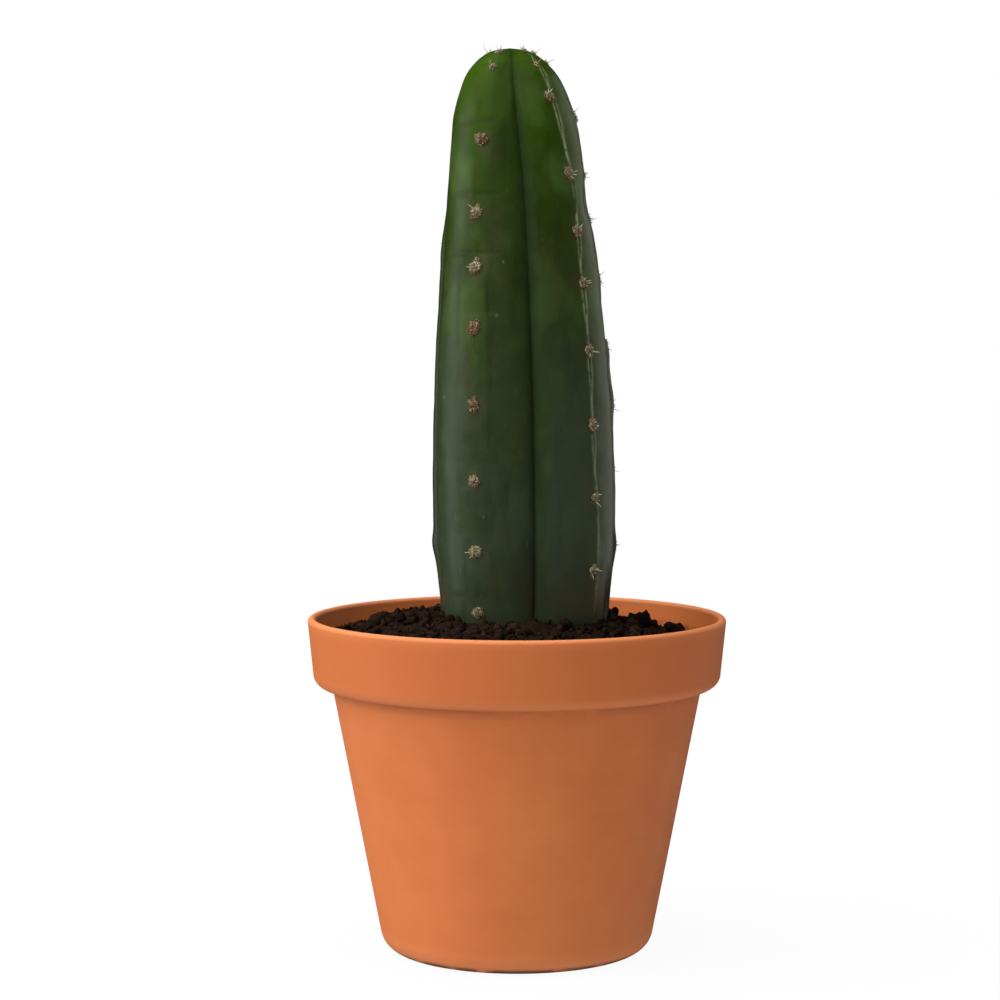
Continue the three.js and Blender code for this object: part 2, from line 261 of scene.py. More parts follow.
def potProfile():  # (radius, height) round the section, from the drain hole's inner edge
    quarter = math.pi / 2
    foot = (pot["footRadius"] - roundedInset(pot["footRounding"]), pot["footRounding"])
    waist = (pot["waistRadius"], pot["bandUnderside"])
    band = (pot["bandFootRadius"] - pot["bandCorner"], pot["bandUnderside"] + pot["bandCorner"])
    lip = (pot["bandTopRadius"] - pot["lipRounding"], pot["height"] - pot["lipRounding"])
    floorX = insideAt(pot["base"]) - roundedInset(pot["floorRounding"])
    floorCorner = (floorX, pot["base"] + pot["floorRounding"])
    belowWaist = (waist[0] - pot["waistRounding"] * math.sin(wallLean), waist[1] - pot["waistRounding"])
    besideWaist = (waist[0] + pot["waistRounding"], waist[1])
    middle = (waist[0] + 0.2 * pot["waistRounding"], waist[1] - 0.2 * pot["waistRounding"])
    points = line((pot["drainRadius"], pot["base"]), (pot["drainRadius"], 0.0), 4)
    points += line((pot["drainRadius"], 0.0), (foot[0], 0.0), 12)[1:-1]
    points += arc(*foot, pot["footRounding"], -quarter, -wallLean, 12)
    points += line(points[-1], belowWaist, 30)[1:]
    points += [middle, besideWaist]
    points += arc(*band, pot["bandCorner"], -quarter, 0, 12)
    points += line(points[-1], (pot["bandTopRadius"], lip[1]), 8)[1:-1]
    points += arc(*lip, pot["lipRounding"], 0, 2 * quarter, 18)
    points += line(points[-1], (bandInsideAt(pot["shoulderTop"]), pot["shoulderTop"]), 8)[1:]
    points += line(points[-1], (insideAt(pot["shoulderFoot"]), pot["shoulderFoot"]), 3)[1:]
    points += line(points[-1], (insideAt(pot["insideMark"]), pot["insideMark"]), 10)[1:]
    points += arc(*floorCorner, pot["floorRounding"], -wallLean, -quarter, 6)
    points += line(points[-1], (pot["drainRadius"], pot["base"]), 8)[1:-1]
    return points


def terracotta():
    clay = Finish("terracotta")
    broad = clay.cloud(38 * mm, 2.0, 0.5)
    patch = clay.cloud(11 * mm, 4.0, 0.6)
    grain = clay.cloud(0.55 * mm, 3.0, 0.6)
    turned = clay.cloud(60 * mm, 4.0, 0.65, stretch=(0.25, 0.25, 16.0))  # faint lines left by turning
    specks = clay.cells(1.6 * mm).between(0.16, 0.07) * clay.cloud(9 * mm).between(0.5, 0.66)
    tone = 0.5 + (broad - 0.5) * 0.4 + (patch - 0.5) * 0.2 + (turned - 0.5) * 0.1 + (grain - 0.5) * 0.14
    colour = clay.ramp(tone, [(0.2, pot["clayDeep"]), (0.5, pot["clay"]), (0.85, pot["clayPale"])])
    colour = clay.mix(colour, pot["clayDeep"], specks * 0.2)
    # painted light: the inside wall below the lip is painted paler
    colour = clay.mix(colour, pot["clayInsideLit"], clay.painted("inner") * (0.75 + (patch - 0.5) * 0.4))
    # painted shade: the band is painted darker than the body
    colour = clay.mix(colour, pot["clayDeep"], clay.painted("band") * 0.6)
    # rubbed edges, and a painted highlight along the lip
    colour = clay.mix(colour, pot["clayWornAndLitEdge"], clay.painted("edge") * 0.6)
    # painted shade in the corner under the band
    colour = clay.mix(colour, pot["clayUnderBandShade"], clay.painted("corner") * patch.between(0.3, 0.6) * 0.5)
    # painted contact shadow along the foot's bottom edge
    footShade = clay.painted("foot") * clay.cloud(12 * mm).between(0.3, 0.5)
    colour = clay.mix(colour, pot["clayFootShade"], footShade * 0.85)
    dusty = clay.painted("soilDust") * clay.cloud(2.2 * mm, 4.0, 0.7).between(0.42, 0.62)
    colour = clay.mix(colour, pot["soilDust"], dusty)
    relief = (grain - 0.5) * 0.5 + (patch - 0.5) * 0.5 + (turned - 0.5) * 0.25 - specks * 0.3
    return clay.close({
        "Base Color": colour,
        "Roughness": pot["roughness"] + (patch - 0.5) * 0.12 + (grain - 0.5) * 0.08 + dusty * 0.2,
        "Specular IOR Level": 0.2,
        "Normal": clay.bump(relief, 0.12 * mm, 0.4),
    })


def potPaints(profile):  # what is painted at each point of the section
    top = max(range(len(profile)), key=lambda index: profile[index][1])
    underside = pot["bandUnderside"]
    paints = []
    for index, (radius, height) in enumerate(profile):
        outside, inside = index < top, index > top
        lipWearAndHighlight = smooth(height, pot["height"] - 2.2, pot["height"] - 0.4)
        onCorner = smooth(radius, 79, 82) * (1 - smooth(height, underside + 1, underside + 6))
        nearFoot = (1 - smooth(height, *pot["footWearFades"])) * (radius > 40)
        shadeUnderBand = math.exp(-((height - underside) / pot["cornerSpread"]) ** 2)
        onFootEdge = smooth(radius, pot["footRadius"] - 7, pot["footRadius"] - 5)
        paints.append({
            # the lip's paler top is wear and painted highlight
            "edge": clamp(lipWearAndHighlight + 0.6 * onCorner + 0.5 * nearFoot),
            # painted shade in the corner under the band
            "corner": shadeUnderBand * (1 - smooth(radius, 75.5, 78)),
            "soilDust": (1 - smooth(height, *pot["dustFades"])) * inside,
            # painted shade on the band
            "band": smooth(height, underside, underside + 3) * outside,
            # painted contact shadow along the foot's bottom edge
            "foot": (1 - smooth(height, *pot["footShadeFades"])) * onFootEdge,
            # painted light on the inside wall below the lip
            "inner": (1 - smooth(height, pot["height"] - 2.4, pot["height"] - 0.8)) * inside,
        })
    return paints


def buildPot():
    profile = potProfile()
    sides = pot["sides"]
    points = []
    for radius, height in profile:
        for side in range(sides):
            turn = 2 * math.pi * side / sides
            way = Vector((math.cos(turn), math.sin(turn), height / 90))
            free = smooth(height, 0.5, 12) if radius > 20 else 0.0  # the underside stays flat
            uneven = pot["wobble"] * free * noise.noise(way * 1.7)
            points.append(((radius + uneven) * way.x, (radius + uneven) * way.y, height))
    paints = potPaints(profile)
    spread = {key: [paint[key] for paint in paints for _ in range(sides)] for key in paints[0]}
    faces = ringFaces(len(profile), sides, closed=True)
    makePiece("clayPot", points, faces, terracotta(), ["pot"], spread)


buildPot()


# Cactus stem: the same ribs as the frame's, with finer rows and columns

stem = {
    "outline": [  # radius and height
        (0, 96), (15, 99), (27, 107), (33.6, 126), (35.4, 144), (37.6, 171), (37.6, 205), (35.7, 246),
        (32.7, 279), (28.8, 314), (25.8, 337), (21, 351.5), (15.4, 359.4), (8.5, 364.2), (0, 365.8),
    ],
    "footX": 3.4,
    "leanStart": 144.0,
    "leanSpan": 220.0,
    "leanReach": 6.3,
    "furrow": 0.85,
    "crownFurrow": 0.94,
    "fullness": 6.5,  # the higher, the flatter the ribs and the narrower the furrows
    "twistFrom": 305.0,  # heights between which crests and furrows swing to their places on the crown
    "twistTo": 352.0,
    "slimFrom": 230.0,  # heights between which a rib goes from its reach to its crown reach
    "slimTo": 330.0,
    "crownStart": 342.0,
    "soilMark": 132.0,
    "creaseAt": 0.25,
    "creaseDepth": 0.75,
    "creaseLow": 0.08,  # share of it near the soil
    "creaseFrom": 235.0,  # heights between which they deepen
    "creaseTo": 335.0,
    "creaseWidth": 0.55,
    "lastGap": 0.03,  # share of the outline above the topmost areole
    "swelling": 0.6,
    "keelHeight": 0.35,
    "keelWidth": 0.56,
    "keelPair": (0.85, 0.36),  # half the distance and the width of the two lines below a tuft
    "keelDoubles": (185, 215),  # heights between which the one line becomes two
    "keelBeside": [(165, 2.7), (200, 0.3), (280, 0.3), (308, 1.7)],  # how far to the right of the tufts
    "furrowFill": [(230, 0.008), (330, 0.04)],  # how much of a furrow's bottom has filled out
    "furrowSpread": 0.05,
    "uneven": 0.28,
    "rowsPerGap": 30,
    "shadeAndScabAngles": (60, 108),  # painted shade in a dark bark-brown strip low on the right, and a scab above it
    "shadeStripFades": (147, 163),
    "scabHeight": 166,
    "scabSpread": 6,
    "haloSize": (3.4, 2.0),  # round a tuft, and round one on the crown
    "skin": [  # from the soil to the crown
        (0.0, (0.0165, 0.026, 0.0130)), (0.3, (0.0175, 0.027, 0.0092)), (0.6, (0.0155, 0.027, 0.0028)),
        (0.82, (0.017, 0.037, 0.0010)), (1.0, (0.026, 0.062, 0.0008)),
    ],
    "freshGreen": (0.040, 0.080, 0.013),
    "greyGreen": (0.036, 0.050, 0.030),
    "olive": (0.030, 0.030, 0.007),
    "mottleGreen": (0.034, 0.054, 0.010),
    "streakGreen": (0.007, 0.015, 0.003),
    "poreGreen": (0.045, 0.065, 0.018),
    "paintedLightSide": (0.034, 0.050, 0.030),
    "paintedShadeSide": (0.008, 0.014, 0.002),
    "furrowShadeGreen": (0.008, 0.016, 0.004),
    "creaseShadeGreen": (0.010, 0.020, 0.006),
    "keelPale": (0.24, 0.26, 0.13),
    "scarPale": (0.12, 0.14, 0.075),
    "haloBrown": (0.055, 0.036, 0.012),
    "barkAndShade": [(0.4, (0.006, 0.004, 0.003)), (0.52, (0.020, 0.013, 0.007)), (0.64, (0.05, 0.038, 0.022))],
}
# Angles run from the front towards the right, at the foot and on the crown.
# A tuft's tone is 0 brown, 1 cream. Shade paints light and shade on a rib's left and right half, 1 greyer as
# painted light, -1 darker as painted shade.
# A dent is its height, depth (less than 0 for a swelling), spread and half of the rib: 1 right, 0 both.
ribs = [
    {
        "crest": (-33, -25), "end": (6, 2), "reach": 0.97, "crownReach": 0.97,
        "creases": 1.0, "keel": 0.0,
        "areoles": [141.0, 165.5, 193.3, 223.3, 254, 278, 299.5, 328, 357, 363.2],
        "tones": [0.75, 0.95, 0.55, 0.1, 0.25, 0.75, 0.85, 0.35, 0.9, 0.9],
        "shade": (0.6, -1),
    },
    {
        "crest": (46, 36), "end": (82, 80), "reach": 1.0, "crownReach": 1.0,
        "creases": 0.1, "keel": 1.0,
        "areoles": [157.5, 186.5, 215.5, 245, 271.5, 292, 315, 345, 358, 363.8],
        "tones": [0.95, 0.85, 0.85, 0.7, 0.5, 0.75, 0.75, 0.8, 0.9, 0.9],
        "shade": (1, 1),
        "pads": 0.86,
        "dents": [(304, 1.4, 7, 1)],
        "shadeStripEnd": (0.48, 0.62),
    },
    {
        "crest": (108, 108), "end": (146, 146), "reach": 0.975, "crownReach": 0.975,
        "creases": 0.6, "keel": 0.9,
        "areoles": [164, 196, 221.5, 246.5, 273, 297.5, 315, 338.5, 360, 363.6],
        "tones": [0.1, 0.5, 0.8, 0.4, 0.3, 0.6, 0.4, 0.6, 0.8, 0.8],
        "dents": [
            (305, 2.4, 8, 0), (256, 1.6, 8, 0), (244, -0.6, 5, 0), (225, -0.9, 8, 0), (165, -0.9, 6, 0),
        ],
        "shadeStripEnd": (0.9, 1.2),
    },
    {
        "crest": (180, 180), "end": (210, 210), "reach": 0.98, "crownReach": 0.98,
        "creases": 0.6, "keel": 0.5,
        "areoles": [150, 177, 206, 235, 262, 286, 308, 333, 354, 363],
        "tones": [0.9, 0.7, 0.8, 0.3, 0.6, 0.3, 0.5, 0.4, 0.8, 0.8],
    },
    {
        "crest": (238, 238), "end": (268, 268), "reach": 1.015, "crownReach": 0.95,
        "creases": 0.6, "keel": 0.3,
        "areoles": [147, 174.5, 203.5, 232, 263, 289, 310, 336, 356, 363.4],
        "tones": [0.8, 0.9, 0.5, 0.7, 0.3, 0.5, 0.6, 0.3, 0.8, 0.8],
        "shade": (-1, -1),
        "dents": [(285, -1.2, 14, 0), (165, -1.3, 6, 0)],
    },
]
# Where the columns of points lie between a furrow, 0, and a crest, 1
shares = [
    0, 0.005, 0.014, 0.03, 0.055, 0.09, 0.135, 0.19, 0.255, 0.33, 0.41, 0.5, 0.59, 0.68, 0.76, 0.83,
    0.875, 0.9, 0.92, 0.94, 0.96, 0.975, 0.99, 1,
]
stemTop = stem["outline"][-1][1]


def splinePoints(knots, count):  # a smooth curve through all the knots
    knots = [np.array(knot, float) for knot in knots]
    made = []
    for step in range(count + 1):
        along = step / count * (len(knots) - 1)
        index = min(int(along), len(knots) - 2)
        part = along - index
        before = knots[max(index - 1, 0)]
        start, end = knots[index], knots[index + 1]
        after = knots[min(index + 2, len(knots) - 1)]
        pull, push = (end - before) / 2, (after - start) / 2
        made.append(
            (2 * start - 2 * end + pull + push) * part ** 3
            + (-3 * start + 3 * end - 2 * pull - push) * part ** 2
            + pull * part + start)
    return np.array(made)


outline = splinePoints(stem["outline"], 4200)
outlineLength = np.concatenate([[0], np.cumsum(np.hypot(*np.diff(outline, axis=0).T))])
outlineShare = outlineLength / outlineLength[-1]


def shareAt(height):
    return float(np.interp(height, outline[:, 1], outlineShare))


def outlineAt(share):  # radius and height
    return tuple(float(np.interp(share, outlineShare, outline[:, part])) for part in (0, 1))


def axisAt(height):
    return stem["footX"] - stem["leanReach"] * max(0.0, (height - stem["leanStart"]) / stem["leanSpan"]) ** 2


def valueAt(knots, height):  # a value given at some heights
    return float(np.interp(height, *zip(*knots)))


def lobeAt(share):  # how far a rib has risen, from 0 in the furrow to 1 on the crest
    return math.sqrt(1 - (1 - share) ** stem["fullness"])


def stemColumns():  # rib, share of the way from furrow to crest, and the side of the crest
    columns = []
    for index in range(len(ribs)):
        columns += [(index, share, -1) for share in shares]
        columns += [(index, share, 1) for share in shares[-2:0:-1]]
    return columns


def angleAt(column, height):  # a column's angle and its rib's crest angle, in degrees
    index, share, side = column
    swing = smooth(height, stem["twistFrom"], stem["twistTo"])
    crest = lerp(*ribs[index]["crest"], swing)
    edge = lerp(*ribs[index if side > 0 else index - 1]["end"], swing)
    if side < 0 and index == 0:
        edge -= 360
    return lerp(edge, crest, share), crest


def stemRows():
    rows = [(None, height) for height in (96.6, 97.6, 98.5, 100, 102.5, 106, 110, 114, 118, 122, 127)]
    rows += [(-1, part) for part in (0, 0.25, 0.5, 0.75)]
    marks = len(ribs[0]["areoles"])
    perGap = stem["rowsPerGap"]
    for mark in range(marks - 1):
        rows += [(mark, part / perGap) for part in range(perGap)]
    return rows + [(marks - 1, part) for part in (0, 0.15, 0.3, 0.5, 0.7, 0.88)]


def rowShareOn(rib, row):
    mark, part = row
    if mark is None:
        return shareAt(part)
    low = shareAt(stem["soilMark"] if mark < 0 else rib["areoles"][mark])
    high = shareAt(rib["areoles"][mark + 1]) if mark + 1 < len(rib["areoles"]) else 1.0
    return lerp(low, high, part)


def keelAt(rib, row, height, away, fade):  # the thin line along a crest, at a distance from its middle
    mark, part = row
    doubled = smooth(height, *stem["keelDoubles"])
    doubled *= smooth(part, 0.4, 0.7) if mark is not None else 0.0
    apart, pairWidth = stem["keelPair"]
    single = math.exp(-(away / stem["keelWidth"]) ** 2)
    pair = math.exp(-((away - apart) / pairWidth) ** 2)
    return lerp(single, pair, doubled) * (rib["keel"] * smooth(height, 134, 150) * min(1.0, fade + 0.6))


# painted shade in a strip low on the right, and a real scab above it
def shadeAndScabAt(rib, share, angle, height):
    if "shadeStripEnd" not in rib or not stem["shadeAndScabAngles"][0] < angle < stem["shadeAndScabAngles"][1]:
        return 0.0
    scab = math.exp(-((height - stem["scabHeight"]) / stem["scabSpread"]) ** 2) * smooth(angle, 76, 84)
    return max(1 - smooth(height, *stem["shadeStripFades"]), scab) * (1 - smooth(share, *rib["shadeStripEnd"]))


def shadeAt(rib, side, share):
    halves = rib.get("shade", (0, 0))
    onHalf = lerp(halves[side > 0], sum(halves) / 2, smooth(share, 0.55, 1.0))
    return 0.5 + 0.5 * smooth(share, 0.02, 0.4) * onHalf


def stemPoint(row, column):  # the point and what is painted there
    mark, part = row
    index, share, side = column
    rib = ribs[index]
    neighbour = ribs[(index + side) % len(ribs)]
    own = rowShareOn(rib, row)
    shared = (own + rowShareOn(neighbour, row)) / 2
    radius, height = outlineAt(lerp(shared, own, min(1.0, 2 * share)))
    angle, crestAngle = angleAt(column, height)
    crown = smooth(height, stem["crownStart"], stemTop)
    bottom = lerp(stem["furrow"], stem["crownFurrow"], crown)
    filled = valueAt(stem["furrowFill"], height) * math.exp(-(share / stem["furrowSpread"]) ** 2)
    lobe = lobeAt(share + filled)
    rising = 0.0
    sinceCrease, crease = 0.5, 0.0
    fade = clamp((stemTop - height) / (stemTop - stem["crownStart"]))
    if mark is not None and mark >= 0:
        sinceCrease = (part - stem["creaseAt"]) % 1.0
        onCrest = smooth(share, 0.3, 0.9) * fade
        growth = smooth(height, stem["creaseFrom"], stem["creaseTo"])
        rising += onCrest * stem["swelling"] * lerp(0.4, 1, growth) * math.sin(math.pi * sinceCrease)
        gap = stem["lastGap"]
        if mark + 1 < len(rib["areoles"]):
            gap = shareAt(rib["areoles"][mark + 1]) - shareAt(rib["areoles"][mark])
        fromCrease = (part - stem["creaseAt"]) * gap * outlineLength[-1]
        crease = math.exp(-(fromCrease / stem["creaseWidth"]) ** 2) * smooth(share, 0.35, 0.75) * fade
        crease *= lerp(stem["creaseLow"], 1, growth) * rib["creases"]
        crease *= smooth(noise.noise(Vector((angle / 9, height / 12, 2.0))), -0.6, 0.05)
        rising -= crease * stem["creaseDepth"]
    for at, depth, spread, half in rib.get("dents", ()):
        if half in (0, side):
            where = smooth(share, 0.0, 0.3) * (1 - half * smooth(share, 0.3, 0.7))
            rising -= depth * math.exp(-((height - at) / spread) ** 2) * where
    beside = valueAt(stem["keelBeside"], height)
    keel = keelAt(rib, row, height, abs(math.radians(angle - crestAngle) * radius - beside), fade)
    rising += keel * stem["keelHeight"]
    turn = math.radians(angle)
    spot = Vector((math.sin(turn) * radius, -math.cos(turn) * radius, height))
    if height > 128:
        rising += stem["uneven"] * fade * (
            noise.noise(spot / 14) + 0.45 * noise.noise(spot / 5.5) * lobe)
    ribReach = lerp(rib["reach"], rib["crownReach"], smooth(height, stem["slimFrom"], stem["slimTo"]))
    reach = radius * (bottom + (ribReach - bottom) * lobe) + rising
    point = (axisAt(height) + reach * math.sin(turn), -reach * math.cos(turn), height)
    return point, {
        "crest": share, "keel": keel, "crease": crease, "segment": sinceCrease,
        "shade": shadeAt(rib, side, share), "dry": shadeAndScabAt(rib, share, angle, height)}


def areolePlaces():  # axes are outward, sideways and upward; the small ones are on the crown
    places = []
    for index, rib in enumerate(ribs):
        column = (index, 1.0, 1)
        for mark, tone in enumerate(rib["tones"]):
            place = Vector(stemPoint((mark, 0.0), column)[0])
            below = Vector(stemPoint((mark - 1, 0.9), column)[0])
            upward = (place - below).normalized()
            turn = math.radians(angleAt(column, place.z)[1])
            sideways = Vector((math.cos(turn), math.sin(turn), 0))
            outward = sideways.cross(upward).normalized()
            places.append({
                "tone": tone, "size": rib.get("pads", 1.0), "small": mark >= len(rib["areoles"]) - 2,
                "place": place, "axes": (outward, sideways, upward)})
    return places


areoles = areolePlaces()


def cactusSkin():
    skin = Finish("cactusSkin")
    z = skin.axis("Z")
    drift = skin.cloud(26 * mm, 3.0, 0.55, stretch=(1.0, 1.0, 0.55))
    mottle = skin.cloud(8 * mm, 4.0, 0.6)
    streak = skin.cloud(7 * mm, 4.0, 0.6, stretch=(1.0, 1.0, 0.16))
    fine = skin.cloud(0.9 * mm, 3.0, 0.6)
    pores = skin.cells(0.75 * mm).between(0.3, 0.12)
    level = z * 1000 + (drift - 0.5) * 70 + (skin.painted("segment") - 0.5) * -14
    colour = skin.ramp((level - 130) / 240, stem["skin"])
    fresh = skin.cloud(19 * mm, 2.0, 0.5, stretch=(1.0, 1.0, 0.7)).between(0.5, 0.68)
    colour = skin.mix(colour, stem["freshGreen"], fresh * z.between(0.19, 0.31) * 0.6)
    grey = skin.cloud(15 * mm, 3.0, 0.6, stretch=(1.0, 1.0, 0.35)).between(0.48, 0.66)
    colour = skin.mix(colour, stem["greyGreen"], grey * z.between(0.29, 0.17) * 0.4)
    olive = skin.cloud(11 * mm, 3.0, 0.6, stretch=(1.0, 1.0, 0.45)).between(0.5, 0.68)
    colour = skin.mix(colour, stem["olive"], olive * 0.45)
    colour = skin.mix(colour, stem["mottleGreen"], mottle.between(0.5, 0.75) * 0.35)
    colour = skin.mix(colour, stem["streakGreen"], streak.between(0.48, 0.3) * 0.5)
    colour = skin.mix(colour, stem["poreGreen"], pores * 0.15 + fine.between(0.55, 0.7) * 0.1)
    shade = skin.painted("shade")
    # painted light and shade: a rib's lit half greyer and paler, its shaded half darker
    colour = skin.mix(colour, stem["paintedLightSide"], shade.between(0.5, 1.0) * z.between(0.29, 0.16) * 0.6)
    colour = skin.mix(colour, stem["paintedShadeSide"], shade.between(0.5, 0.0) * z.between(0.11, 0.2) * 0.3)
    crest = skin.painted("crest")
    # painted shade, darker towards the furrows, fading out near the soil
    furrow = crest.between(0.5, 0.0) * 0.35 + crest.between(0.2, 0.02) * 0.35
    colour = skin.mix(colour, stem["furrowShadeGreen"], furrow * z.between(0.12, 0.27))
    # painted shade along the creases
    colour = skin.mix(colour, stem["creaseShadeGreen"], skin.painted("crease") * 0.6)
    worn = skin.cloud(13 * mm, 3.0, 0.6, stretch=(0.4, 0.4, 1.0)).between(0.4, 0.6)
    keel = skin.painted("keel") * skin.cloud(2.5 * mm, 3.0, 0.6).between(0.3, 0.5) * (0.15 + worn * 0.85)
    colour = skin.mix(colour, stem["keelPale"], keel * (0.5 + z.between(0.22, 0.3) * 0.4))
    scars = skin.cells(9 * mm, stretch=(1.0, 1.0, 0.8)).between(0.09, 0.05)
    scars = scars * skin.cloud(30 * mm).between(0.45, 0.6)
    scratch = skin.cells(5.5 * mm, stretch=(1.6, 1.6, 0.22)).between(0.1, 0.05) * z.between(0.215, 0.15)
    scratch = scratch * skin.cloud(18 * mm).between(0.45, 0.62)
    colour = skin.mix(colour, stem["scarPale"], scars * 0.7 + scratch * 0.35)
    halo = skin.painted("halo")
    colour = skin.mix(colour, stem["haloBrown"], halo * (0.25 + olive * 0.35))
    # painted shade in a dark strip low on the right, and a real scab above it
    dry = skin.painted("dry") * skin.cloud(5 * mm, 4.0, 0.65, stretch=(1.0, 1.0, 0.2)).between(0.3, 0.5)
    colour = skin.mix(colour, skin.ramp(streak, stem["barkAndShade"]), dry * 0.95)
    relief = (mottle - 0.5) * 0.6 + (fine - 0.5) * 0.3 + pores * 0.12 + (streak - 0.5) * 0.5 + scars * 0.5
    roughness = 0.34 + (mottle - 0.5) * 0.25 + (streak - 0.5) * 0.15
    roughness = roughness + scars * 0.3 + halo * 0.25 + dry * 0.6
    return skin.close({
        "Base Color": colour,
        "Roughness": roughness,
        "Specular IOR Level": 0.45,
        "Normal": skin.bump(relief, 0.25 * mm, 0.5),
    })


def haloRound(points):  # 1 at a tuft and 0 away from it
    spots = np.array(points)
    halo = np.zeros(len(spots))
    for tuft in areoles:
        away = np.linalg.norm(spots - np.array(tuft["place"]), axis=1)
        halo = np.maximum(halo, np.exp(-(away / stem["haloSize"][tuft["small"]]) ** 2))
    return list(halo)


def buildStem():
    columns, rows = stemColumns(), stemRows()
    ends = {"crest": 1, "keel": 0, "crease": 0, "segment": 0.5, "shade": 0.5, "dry": 0}  # at the foot and top
    points, paints = [], {key: [] for key in ends}
    for row in rows:
        for column in columns:
            point, painted = stemPoint(row, column)
            points.append(point)
            for key, value in painted.items():
                paints[key].append(value)
    paints["halo"] = haloRound(points) + [0, 0]
    for key, value in ends.items():
        paints[key] += [value, value]
    faces = ringFaces(len(rows), len(columns))
    foot, top = len(points), len(points) + 1
    points += [(stem["footX"], 0, 96), (axisAt(stemTop), 0, stemTop)]
    last = (len(rows) - 1) * len(columns)
    for side in range(len(columns)):
        after = (side + 1) % len(columns)
        faces.append((foot, after, side))
        faces.append((top, last + side, last + after))
    makePiece("cactusStem", points, faces, cactusSkin(), ["cactus"], paints)


buildStem()


# Areoles: a felt pad with short wool and a fan of spines on each

areole = {
    "seed": 7,
    "padRadius": 2.1,
    "padHeight": 0.85,
    "crownPadRadius": 0.85,
    "wool": 320,
    "woolLength": (0.5, 1.6),
    "woolWidth": (0.08, 0.16),
    "spines": (11, 15),
    "spineShort": 1.5,
    "spineLong": 2.9,
    "longSpines": 3,  # of each tuft's spines, this many are longer and stand out
    "longest": 5.0,
    "spineWidth": 0.44,
    "spineSides": 6,
    "spineSteps": 7,
    "crownSpine": 1.1,
    "spread": 0.9,
    "liftBelow": 155.0,  # near the soil the spines point upwards
    "lift": 0.75,
    "spineYoung": [  # from root to tip
        (0.0, (0.12, 0.035, 0.014)), (0.35, (0.10, 0.035, 0.015)), (0.6, (0.30, 0.22, 0.11)),
        (0.78, (0.50, 0.43, 0.27)), (1.0, (0.10, 0.06, 0.035)),
    ],
    "spineOld": [
        (0.0, (0.10, 0.045, 0.022)), (0.35, (0.24, 0.18, 0.10)),
        (0.75, (0.56, 0.51, 0.36)), (1.0, (0.12, 0.085, 0.055)),
    ],
    "woolYoung": [(0.34, (0.04, 0.026, 0.011)), (0.5, (0.15, 0.11, 0.055)), (0.64, (0.38, 0.34, 0.20))],
    "woolOld": [(0.34, (0.09, 0.06, 0.032)), (0.5, (0.28, 0.24, 0.14)), (0.64, (0.58, 0.54, 0.37))],
    "woolBrown": (0.15, 0.040, 0.014),
}


def icoSphere(levels):
    work = bmesh.new()
    bmesh.ops.create_icosphere(work, subdivisions=levels, radius=1.0)
    points = [tuple(v.co) for v in work.verts]
    faces = [tuple(v.index for v in f.verts) for f in work.faces]
    work.free()
    return points, faces


# A tapered tube along a line of middles, closed at both ends
def addTube(points, faces, middles, radii, sides):
    start = len(points)
    for index, (middle, radius) in enumerate(zip(middles, radii)):
        ahead = (middles[min(index + 1, len(middles) - 1)] - middles[max(index - 1, 0)]).normalized()
        across = ahead.orthogonal().normalized()
        if index:
            across = (lastAcross - ahead * lastAcross.dot(ahead)).normalized()
        lastAcross = across
        other = ahead.cross(across)
        for side in range(sides):
            turn = 2 * math.pi * side / sides
            points.append(tuple(middle + radius * (math.cos(turn) * across + math.sin(turn) * other)))
    last = start + (len(middles) - 1) * sides
    faces += [tuple(start + index for index in face) for face in ringFaces(len(middles), sides)]
    faces.append(tuple(start + side for side in reversed(range(sides))))
    faces.append(tuple(last + side for side in range(sides)))


def spineFinish():
    spine = Finish("spineBrown")
    along = spine.painted("along")
    grain = spine.cloud(0.5 * mm, 3.0, 0.6)
    young = spine.ramp(along + (grain - 0.5) * 0.25, areole["spineYoung"])
    worn = spine.ramp(along + (grain - 0.5) * 0.3, areole["spineOld"])
    return spine.close({
        "Base Color": spine.mix(young, worn, spine.painted("old")),
        "Roughness": 0.45 + (grain - 0.5) * 0.2,
        "Normal": spine.bump(grain, 0.05 * mm, 0.4),
    })


def woolFinish():
    wool = Finish("areoleWool")
    old = wool.painted("old")
    tuft = wool.cloud(0.7 * mm, 4.0, 0.75)
    patch = wool.cloud(1.6 * mm, 2.0, 0.5)
    colour = wool.mix(wool.ramp(tuft, areole["woolYoung"]), wool.ramp(tuft, areole["woolOld"]), old)
    brown = patch.between(0.42, 0.55) * old.between(0.75, 0.25) + patch.between(0.55, 0.62) * 0.35
    colour = wool.mix(colour, areole["woolBrown"], brown * 0.85)
    return wool.close({
        "Base Color": colour,
        "Roughness": 0.85 + (tuft - 0.5) * 0.2,
        "Specular IOR Level": 0.1,
        "Normal": wool.bump(tuft, 0.3 * mm, 0.8),
    })


def gaussVector(draw, spread):
    return Vector([draw.gauss(0, spread) for _ in range(3)])


def addPad(tuft, lump, wool):
    outward, sideways, upward = tuft["axes"]
    points, faces = lump
    start = len(wool["points"])
    for x, y, z in points:
        ray = Vector((x, y, z))
        bulge = 1 + 0.3 * noise.noise(ray * 2.2 + tuft["shift"]) + 0.2 * noise.noise(ray * 6 + tuft["shift"])
        spot = tuft["place"] + tuft["radius"] * bulge * (x * sideways + y * tuft["oval"] * upward)
        spot += areole["padHeight"] * bulge * z * outward
        wool["points"].append(tuple(spot))
        wool["old"].append(clamp(tuft["old"] + 0.4 * y - 0.1))  # creamy above, brown below
    wool["faces"] += [tuple(start + index for index in face) for face in faces]


